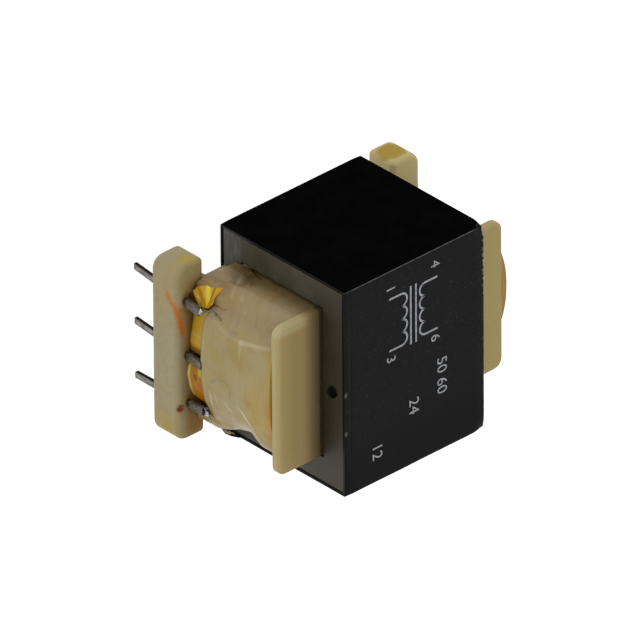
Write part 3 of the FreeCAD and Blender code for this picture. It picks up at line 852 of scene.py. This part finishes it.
def low_dent(x, y, z):
    """The tape is drawn in at its lower near corner, deepest where the white crease ends."""
    if z < DENT_Z:
        share = smooth(z, DENT_START, DENT_Z)
    else:
        share = 1 - smooth(z, DENT_Z, DENT_END)
    return DENT_DEPTH * share * smooth(-y, 4.5, 7.5) * smooth(-x, 9.5, 11.5)


def tape_lift(x, y, z):
    """How far the tape stands out from the coil's even outline."""
    lift = TAPE_WAVE * ripple(x, y, z / 2, 3.0, 1.0) + TAPE_GRAIN * ripple(x, y, z, 0.9, 4.0) - TAPE_SINK
    if x < 0:
        for line, height, width in RAISED_CREASES:
            lift += height * math.exp(-(line_distance(y, z, line) / width) ** 2)
        edge = ridge_y(z)
        share = (y - edge) / (tape_high.y - edge)
        if 0 < share < 1:
            lift -= FACET_DEPTH * math.sin(math.pi * share) ** 0.8
        away = (Vector((x, y, z)) - HOLLOW).length
        lift -= HOLLOW_DEPTH * smooth(HOLLOW_REACH - away, 0.0, HOLLOW_REACH)
        lift -= low_dent(x, y, z)
    return lift


def edge_drop(x, y):
    """How far the tape's lower edge hangs below the coil, on the near face only."""
    return TAPE_EDGE_DROP * smooth(-x, 12.0, 14.5) * smooth(6.2 - abs(y), 0.0, 1.8)


def coil_ring(name, outer, inner, is_tape, slot, node):
    """A ring round the coil; outer and inner are how far its two faces lie inside the tape's.
    The tape hangs down at the near end, and at its upper end it closes over the turns."""
    outline = coil_outline()
    count = len(outline)
    heights = steps(0, 1, COIL_ROWS)
    points = []
    for depth in (outer, inner):
        for share in heights:
            for x, y, out_x, out_y in outline:
                low, high = tape_low.z + COIL_PLAY, tape_high.z - COIL_PLAY
                if is_tape:
                    low, high = tape_low.z - edge_drop(x, y), tape_high.z + COIL_END_GAP
                z = low + (high - low) * share
                lift = tape_lift(x, y, z) - depth
                if is_tape and depth and share == 1:
                    lift -= CAP_REACH
                points.append((x + out_x * lift, y + out_y * lift, z))
    faces = lattice(len(heights), count, close_columns=True)
    inner_start = len(heights) * count
    back = lattice(len(heights), count, close_columns=True, first=inner_start)
    faces += [tuple(reversed(f)) for f in back]
    for row in (0, len(heights) - 1):
        for j in range(count):
            here, beside = row * count + j, row * count + (j + 1) % count
            rim = (here, beside, inner_start + beside, inner_start + here)
            faces.append(rim if row == 0 else tuple(reversed(rim)))
    make_piece(name, (points, faces), slot, [node])


coil_ring("coil_tape", 0.0, TAPE_THICKNESS, True, "wrap_tape", "coil_wrap_tape")
coil_ring("coil_turns", WINDING_GAP, WINDING_DEPTH, False, "winding", "secondary_winding")


# Tape draped over the lower flange at the coil's near corners

DRAPE_LOW = 3.92
DRAPE_BEND = 6.5
DRAPE_HIGH = 9.2
DRAPE_START_X = -9.35
DRAPE_X = -14.03
DRAPE_COLUMNS = 40
DRAPE_ROWS = 30
DRAPE_BULGE = 0.66
DRAPE_PLAY = 0.04
DRAPE_TUCK = 0.16
DRAPE_FOLD = 0.04

# The tape's corner: its centre, how far round it the flap goes and the share of the flap before it
CORNER_X = -11.56
CORNER_DEGREES = 66
FLAT_SHARE = 0.35


def tape_corner_point(share):
    """On the tape near its corner at +Y: along the flat side first, then round the corner."""
    if share < FLAT_SHARE:
        x = DRAPE_START_X + share / FLAT_SHARE * (CORNER_X - DRAPE_START_X)
        return x, tape_high.y, 0.0, 1.0
    turn = math.radians(90 - CORNER_DEGREES * (share - FLAT_SHARE) / (1 - FLAT_SHARE))
    out_x, out_y = -math.cos(turn), math.sin(turn)
    return CORNER_X + TAPE_CORNER * out_x, tape_high.y + TAPE_CORNER * (out_y - 1), out_x, out_y


def tape_drape(name, side, half_width):
    """A flap from the tape's corner down over the flange's side; side is 1 or -1 along Y."""
    rim = [(DRAPE_START_X, 0.0), (-13.3, 0.0), (-13.85, 0.2), (DRAPE_X, 0.7), (DRAPE_X, 1.5)]
    rim = [(x, half_width - inwards, 0.0) for x, inwards in rim]
    points = []
    for share in steps(0, 1, DRAPE_COLUMNS):
        low = along(rim, share)
        x, y, out_x, out_y = tape_corner_point(share)
        for z in steps(DRAPE_LOW, DRAPE_HIGH, DRAPE_ROWS):
            tuck = max(smooth(z, DRAPE_HIGH - 1.0, DRAPE_HIGH), smooth(share, 0.85, 1.0))
            lift = tape_lift(x, side * y, z) + DRAPE_PLAY - DRAPE_TUCK * tuck
            high = Vector((x + out_x * lift, y + out_y * lift, 0.0))
            here = low.lerp(high, smooth(z, DRAPE_BEND, DRAPE_HIGH))
            bulge = smooth(here.x, -12.2, -10.3) * smooth(z, 4.0, 4.9) * smooth(z, 8.9, 6.2)
            here.y += DRAPE_BULGE * bulge
            fold = DRAPE_FOLD * ripple(here.x, here.y, z, 1.2, 12.0)
            points.append((here.x - fold, side * (here.y + fold), z))
    faces = lattice(DRAPE_COLUMNS + 1, DRAPE_ROWS + 1)
    thicken(make_piece(name, (points, faces), "wrap_tape"))


tape_drape("tape_drape_left", 1, 8.0)
tape_drape("tape_drape_right", -1, 8.2)


# Yellow film behind the pins

FILM_GAP = 0.03
FILM_COLUMNS = 48
FILM_ROWS = 14
PLEAT_DEPTH = 0.07
FILM_WAVE = 0.04
FILM_OUT = 0.8
FILM_UP = 0.45
FAR_FILM_COLUMNS = 80
FAR_FILM_ROWS = 10
FAR_FILM_PLAY = 0.05
FAR_FILM_SWELL = 0.25


def film_patch(lower, upper, swell, pleats, seed):
    """A loose strip between two lines, which swells outwards and is pleated along its length."""
    points = []
    for share in steps(0, 1, FILM_COLUMNS):
        start, end = along(lower, share), along(upper, share)
        for rise in steps(0, 1, FILM_ROWS):
            out = swell * math.sin(math.pi * rise) * math.sin(math.pi * share) ** 0.5
            out += PLEAT_DEPTH * math.sin(pleats * math.pi * share + 1.2 * rise) * math.sin(math.pi * rise)
            here = start.lerp(end, rise)
            out += FILM_WAVE * ripple(here.x, here.y, here.z, 0.6, seed) * rise
            points.append((here.x - out * FILM_OUT, here.y, here.z + out * FILM_UP))
    return points, lattice(FILM_COLUMNS + 1, FILM_ROWS + 1)


def near_film():
    """The fan over pin 1, the strip between pins 1 and 2 and the bulge between pins 2 and 3."""
    low = bar_top + FILM_GAP
    fan_tip = [(-14.65, 5.75, 5.0), (-14.55, 6.0, 6.25)]
    fan_rim = [
        (-14.5, 7.03, 3.92), (-14.45, 8.01, 4.84), (-14.3, 8.46, 5.96), (-14.25, 8.41, 6.49),
        (-13.6, 8.58, 7.54), (-13.9, 7.97, 7.13), (-14.1, 7.47, 6.91), (-14.35, 6.54, 6.68),
    ]
    fan = film_patch(fan_tip, fan_rim, 0.06, 7, 1.0)
    strip_low = [
        (-14.0, 5.3, 5.0), (-14.3, 4.2, low), (-14.55, 2.9, low), (-14.85, 1.5, low), (-14.75, 0.3, low),
    ]
    strip_high = [(-14.1, 5.4, 6.3), (-14.35, 3.0, 6.4), (-14.45, -0.25, 6.4)]
    strip = film_patch(strip_low, strip_high, 0.25, 3, 2.0)
    bulge_low = [
        (-14.7, -0.7, low), (-15.15, -1.5, low), (-15.3, -2.3, low), (-15.0, -3.9, low), (-14.5, -5.1, low),
    ]
    bulge_high = [(-14.35, -0.7, 6.4), (-14.4, -2.6, 6.4), (-14.2, -5.6, 6.4)]
    bulge = film_patch(bulge_low, bulge_high, 0.05, 2, 3.0)
    thicken(make_piece("film_near", joined(fan, strip, bulge), "clear_film", ["lead_film_near"]))


def far_film():
    """The far strip lies flat on the flange, with a slight swell between the pins."""
    low, high = mm_box("lead_film_far")
    rows = steps(low.y, high.y, FAR_FILM_COLUMNS)
    heights = steps(low.z + FILM_GAP, high.z, FAR_FILM_ROWS)
    pins = [pin_axis(number, bar_top).y for number in (4, 5, 6)]
    points = []
    for y in rows:
        swell = smooth(min(abs(y - pin) for pin in pins), 0.5, 2.2)
        for z in heights:
            rise = (z - heights[0]) / (heights[-1] - heights[0])
            loose = FAR_FILM_SWELL * math.sin(math.pi * rise) + FILM_WAVE * ripple(0, y, z, 0.8, 5.0)
            points.append((low.x + FAR_FILM_PLAY + swell * loose, y, z))
    faces = lattice(len(rows), len(heights))
    thicken(make_piece("film_far", (points, faces), "clear_film", ["lead_film_far"]))


near_film()
far_film()


# Near pins, which lean, and the solder on the pins' inner ends

PIN_HALF_X = 0.2
PIN_HALF_Y = 0.4
TIP_TAPER = 0.95
TIP_BEVEL = 0.1
EDGE_ROUND = 0.05
PIN_CORNER_STEPS = 3
COAT = 0.05
TURN_RIDGE = 0.018
JOINT_STEPS = 40
JOINT_WAVE = 1.9
BLOB_SWELL = 0.22
BLOB_GRAIN = 0.08
LEAD_RADIUS = 0.12


def flat_section(half_x, half_y, round_by):
    """A rounded rectangle in the X-Y plane."""
    section = []
    for quarter, (sx, sy) in enumerate(((1, 1), (-1, 1), (-1, -1), (1, -1))):
        for k in range(PIN_CORNER_STEPS + 1):
            turn = math.pi / 2 * (quarter + k / PIN_CORNER_STEPS)
            x = sx * (half_x - round_by) + round_by * math.cos(turn)
            section.append((x, sy * (half_y - round_by) + round_by * math.sin(turn)))
    return section


def flat_bar(number, levels):
    """A flat bar along a pin's axis; each level is its height, its scale and its growth."""
    points = []
    for z, scale, growth in levels:
        middle = pin_axis(number, z)
        half_x, half_y = PIN_HALF_X * scale + growth, PIN_HALF_Y * scale + growth
        for x, y in flat_section(half_x, half_y, min(EDGE_ROUND + growth, half_x * 0.9)):
            points.append((middle.x + x, middle.y + y, z))
    count = len(points) // len(levels)
    faces = lattice(len(levels), count, close_columns=True)
    faces.append(tuple(reversed(range(count))))
    faces.append(tuple(range(len(points) - count, len(points))))
    return points, faces


def leaning_pin(number):
    """A near pin: bevelled at its tip, and flat-shaded, because it is stamped from strip."""
    node = "terminal_pin_%d" % number
    low, high = mm_box(node)
    levels = [(low.z, TIP_TAPER - TIP_BEVEL * 2, 0.0), (low.z + TIP_BEVEL, TIP_TAPER, 0.0)]
    for z in steps(low.z + 0.4, 0.0, 6):
        levels.append((z, TIP_TAPER + (1 - TIP_TAPER) * smooth(z, low.z, 0.0), 0.0))
    levels.append((high.z - 0.1, 1.0, 0.0))
    made = make_piece("pin_%d" % number, flat_bar(number, levels), "pin_metal", [node])
    made.data.polygons.foreach_set("use_smooth", [False] * len(made.data.polygons))


def blob(middle, half_x, half_y, half_z, seed):
    """A lump of solder."""
    ball = bmesh.new()
    bmesh.ops.create_icosphere(ball, subdivisions=4, radius=1.0)
    points = []
    for vertex in ball.verts:
        c = vertex.co
        swell = 1 + BLOB_SWELL * noise.noise(c * 1.6 + Vector((seed, 0, 0)))
        swell += BLOB_GRAIN * noise.noise(c * 5 + Vector((0, seed, 0)))
        points.append(Vector(middle) + Vector((c.x * half_x, c.y * half_y, c.z * half_z)) * swell)
    faces = [tuple(v.index for v in face.verts) for face in ball.faces]
    ball.free()
    return points, faces


def wire_joint(number):
    """Solder over a few turns of fine wire round the pin's inner end."""
    node = "solder_joint_%d" % number
    low, high = mm_box(node)
    levels = []
    for n, z in enumerate(steps(low.z, high.z, JOINT_STEPS)):
        wave = 0.5 + 0.5 * math.sin(n * JOINT_WAVE)
        ends = smooth(min(z - low.z, high.z - z), 0.0, 0.15)
        levels.append((z, 1.0, COAT * (0.4 + 0.6 * ends) + TURN_RIDGE * wave * ends))
    make_piece("wire_joint_%d" % number, flat_bar(number, levels), "solder", [node])


for number in PIN_LEAN:
    leaning_pin(number)
for number in range(1, 7):
    wire_joint(number)


def tape_face_x(y, z):
    """X of the tape's near face at a place."""
    reach, corner_y = -tape_low.x, tape_high.y - TAPE_CORNER
    bow_centre = reach - NEAR_BOW
    corner_x = bow_centre + math.sqrt((NEAR_BOW - TAPE_CORNER) ** 2 - corner_y ** 2)
    meet_y = corner_y * NEAR_BOW / (NEAR_BOW - TAPE_CORNER)
    if abs(y) < meet_y:
        x = -(bow_centre + math.sqrt(NEAR_BOW ** 2 - y * y))
    else:
        x = -(corner_x + math.sqrt(max(TAPE_CORNER ** 2 - (abs(y) - corner_y) ** 2, 0.0)))
    return x - tape_lift(x, y, z)


def first_lead():
    """The lead of pin 1: from the pin's end up under the tape."""
    start = pin_axis(1, 6.05)
    path = [start, start + Vector((0.0, -0.1, 0.3))]
    for y, z in ((5.95, 6.6), (5.75, 7.1), (5.6, 7.6), (5.4, 8.1)):
        path.append(Vector((tape_face_x(y, z) + 0.06 * (z - 6.7), y, z)))
    make_piece("lead_1", tube(path, LEAD_RADIUS, 10), "lead_metal", ["lead_wire_1"])


def solder_drops():
    """Bright drops on the inner ends of pins 1 and 3, and the flat lead end beside pin 3."""
    top = mm_box("solder_joint_1")[1].z
    first = pin_axis(1, top)
    third = pin_axis(3, top)
    drop = blob((first.x + 0.05, first.y + 0.02, first.z - 0.1), 0.24, 0.42, 0.34, 4.0)
    bead = blob((third.x + 0.25, third.y - 0.25, third.z + 0.15), 0.2, 0.28, 0.24, 7.0)
    offsets = ((0.2, 0.3, -0.1), (0.3, -0.2, 0.15), (0.45, -0.7, 0.35), (0.6, -1.2, 0.4))
    ribbon = tube([third + Vector(offset) for offset in offsets], 0.2, 10, 0.35)
    make_piece("solder_drops", joined(drop, bead, ribbon), "solder", material=bright_solder)


first_lead()
solder_drops()


# A curled strip between the band and the flange, at the low near corner

def curled_strip():
    gold_path = [(-9.75, -11.5, 2.65), (-9.75, -11.68, 3.3), (-9.75, -11.62, 3.96), (-9.7, -11.4, 4.5)]
    outer_path = [(-9.6, -11.6, 2.6), (-9.6, -11.95, 3.3), (-9.6, -11.85, 4.2), (-9.5, -11.6, 5.2)]
    inner_path = [(-9.7, -11.3, 2.7), (-9.75, -11.35, 3.8), (-9.7, -11.15, 4.7)]
    make_piece("strip_edge", tube(gold_path, 0.13, 10, 0.8), "clear_film", material=gold_strip)
    curl = joined(tube(outer_path, 0.14, 12), tube(inner_path, 0.13, 12))
    make_piece("strip_curl", curl, "sleeve_black")


curled_strip()


# Generic marks on the print face: two winding signs with a core sign, pin numbers and plain numbers

INK_LEVEL = sleeve_high.z + 0.012
INK_HALF_LINE = 0.11
SIGN_LEAD = 2.2
SIGN_STEPS = 12

# Each number, its place (x, y) and its height
NUMBERS = (
    ("1", -3.6, 10.2, 1.7), ("3", -3.6, 2.0, 1.7), ("4", 2.4, 10.6, 1.7), ("6", 2.4, 2.0, 1.7),
    ("50 60", 3.2, -1.0, 1.9), ("24", -0.6, -4.2, 1.9), ("12", -5.6, -7.4, 1.9),
)


def ink_line(path):
    """A flat line of ink through points (x, y) on the print face."""
    points = []
    for n, (x, y) in enumerate(path):
        ahead = Vector(path[min(n + 1, len(path) - 1)]) - Vector(path[max(n - 1, 0)])
        ahead.normalize()
        for side in (-1, 1):
            reach = INK_HALF_LINE * side
            points.append((x - ahead.y * reach, y + ahead.x * reach, INK_LEVEL))
    return points, lattice(len(path), 2)


def winding_sign(x, y_top, humps, radius, outwards):
    """A row of half circles along Y, with its two ends led away."""
    path = [(x + outwards * radius * SIGN_LEAD, y_top)]
    for hump in range(humps):
        centre_y = y_top - radius * (2 * hump + 1)
        for turn in steps(math.pi / 2, -math.pi / 2, SIGN_STEPS):
            path.append((x - outwards * radius * math.cos(turn), centre_y + radius * math.sin(turn)))
    path.append((x + outwards * radius * SIGN_LEAD, y_top - radius * humps * 2))
    return ink_line(path)


def digit_mesh(text, x, y, height):
    """Plain numbers that read along -Y with their tops towards +X."""
    curve = bpy.data.curves.new("digits", "FONT")
    curve.body = text
    curve.size = height
    curve.resolution_u = 3
    holder = bpy.data.objects.new("digits", curve)
    mesh = bpy.data.meshes.new_from_object(holder)
    points = [(x + v.co.y, y - v.co.x, INK_LEVEL) for v in mesh.vertices]
    faces = [tuple(face.vertices) for face in mesh.polygons]
    bpy.data.objects.remove(holder)
    bpy.data.curves.remove(curve)
    bpy.data.meshes.remove(mesh)
    return points, faces


def print_marks():
    meshes = [winding_sign(side * 1.6, 8.6, 4, 0.75, side) for side in (-1, 1)]
    meshes += [ink_line([(side * 0.35, 9.0), (side * 0.35, 2.2)]) for side in (-1, 1)]
    meshes += [digit_mesh(*number) for number in NUMBERS]
    make_piece("print_marks", joined(*meshes), "sleeve_black", material=print_ink)


print_marks()


# Floor, light and camera

FLOOR_HALF = 12.0
FLOOR_GREY = 0.3
FLOOR_GLOW = 0.95
FLOOR_GAP = 0.01 * MM
WORLD_LIGHT = 0.62


def floor():
    """White paper just below the pins' tips."""
    level = cad_low.z - FLOOR_GAP
    signs = ((-1, -1), (1, -1), (1, 1), (-1, 1))
    mesh = bpy.data.meshes.new("floor")
    mesh.from_pydata([(x * FLOOR_HALF, y * FLOOR_HALF, level) for x, y in signs], [], [(0, 1, 2, 3)])
    made = add("floor", mesh)
    s = Shader("floor_paper", Roughness=0.9, Specular_IOR_Level=0.0)
    s.surface.inputs["Emission Color"].default_value = (1, 1, 1, 1)
    s.surface.inputs["Emission Strength"].default_value = FLOOR_GLOW
    s.colour = (FLOOR_GREY, FLOOR_GREY, FLOOR_GREY, 1)
    mesh.materials.append(s.finish())


def world():
    made = bpy.data.worlds.new("studio")
    made.use_nodes = True
    background = made.node_tree.nodes["Background"]
    background.inputs["Color"].default_value = (1, 1, 1, 1)
    background.inputs["Strength"].default_value = WORLD_LIGHT
    bpy.context.scene.world = made


def area_light(name, direction, distance, size, power):
    data = bpy.data.lights.new(name, "AREA")
    data.shape = "SQUARE"
    data.size = size
    data.energy = power
    made = add(name, data)
    aim = Vector(direction).normalized()
    made.location = core_centre * MM + aim * distance
    made.rotation_euler = aim.to_track_quat("Z", "Y").to_euler()


# The photograph's view, from so far away that it has almost no perspective
VIEW_RIGHT = Vector((0.7329, -0.0061, 0.6803))
VIEW_UP = Vector((0.3635, 0.8488, -0.3839))
VIEW_OFFSET_RIGHT = -3.096
VIEW_OFFSET_UP = 0.657
VIEW_WIDTH = 63.53
LENS = 1500.0
SENSOR = 36.0
CLIP_END = 100.0


def camera():
    right = VIEW_RIGHT.normalized()
    up = (VIEW_UP - right * VIEW_UP.dot(right)).normalized()
    back = right.cross(up)
    distance = VIEW_WIDTH * LENS / SENSOR
    target = core_centre + right * VIEW_OFFSET_RIGHT + up * VIEW_OFFSET_UP
    data = bpy.data.cameras.new("camera")
    data.lens = LENS
    data.sensor_width = SENSOR
    data.clip_end = CLIP_END
    made = add("camera", data)
    turn = Matrix((right, up, back)).transposed()
    made.matrix_world = Matrix.Translation((target + back * distance) * MM) @ turn.to_4x4()
    bpy.context.scene.camera = made


floor()
world()
area_light("key", (-0.5, 0.45, 1.3), 0.6, 0.5, 1.1)
area_light("fill", (0.8, 0.6, 0.9), 0.7, 0.6, 0.4)
camera()
bpy.context.scene.view_settings.view_transform = "Standard"
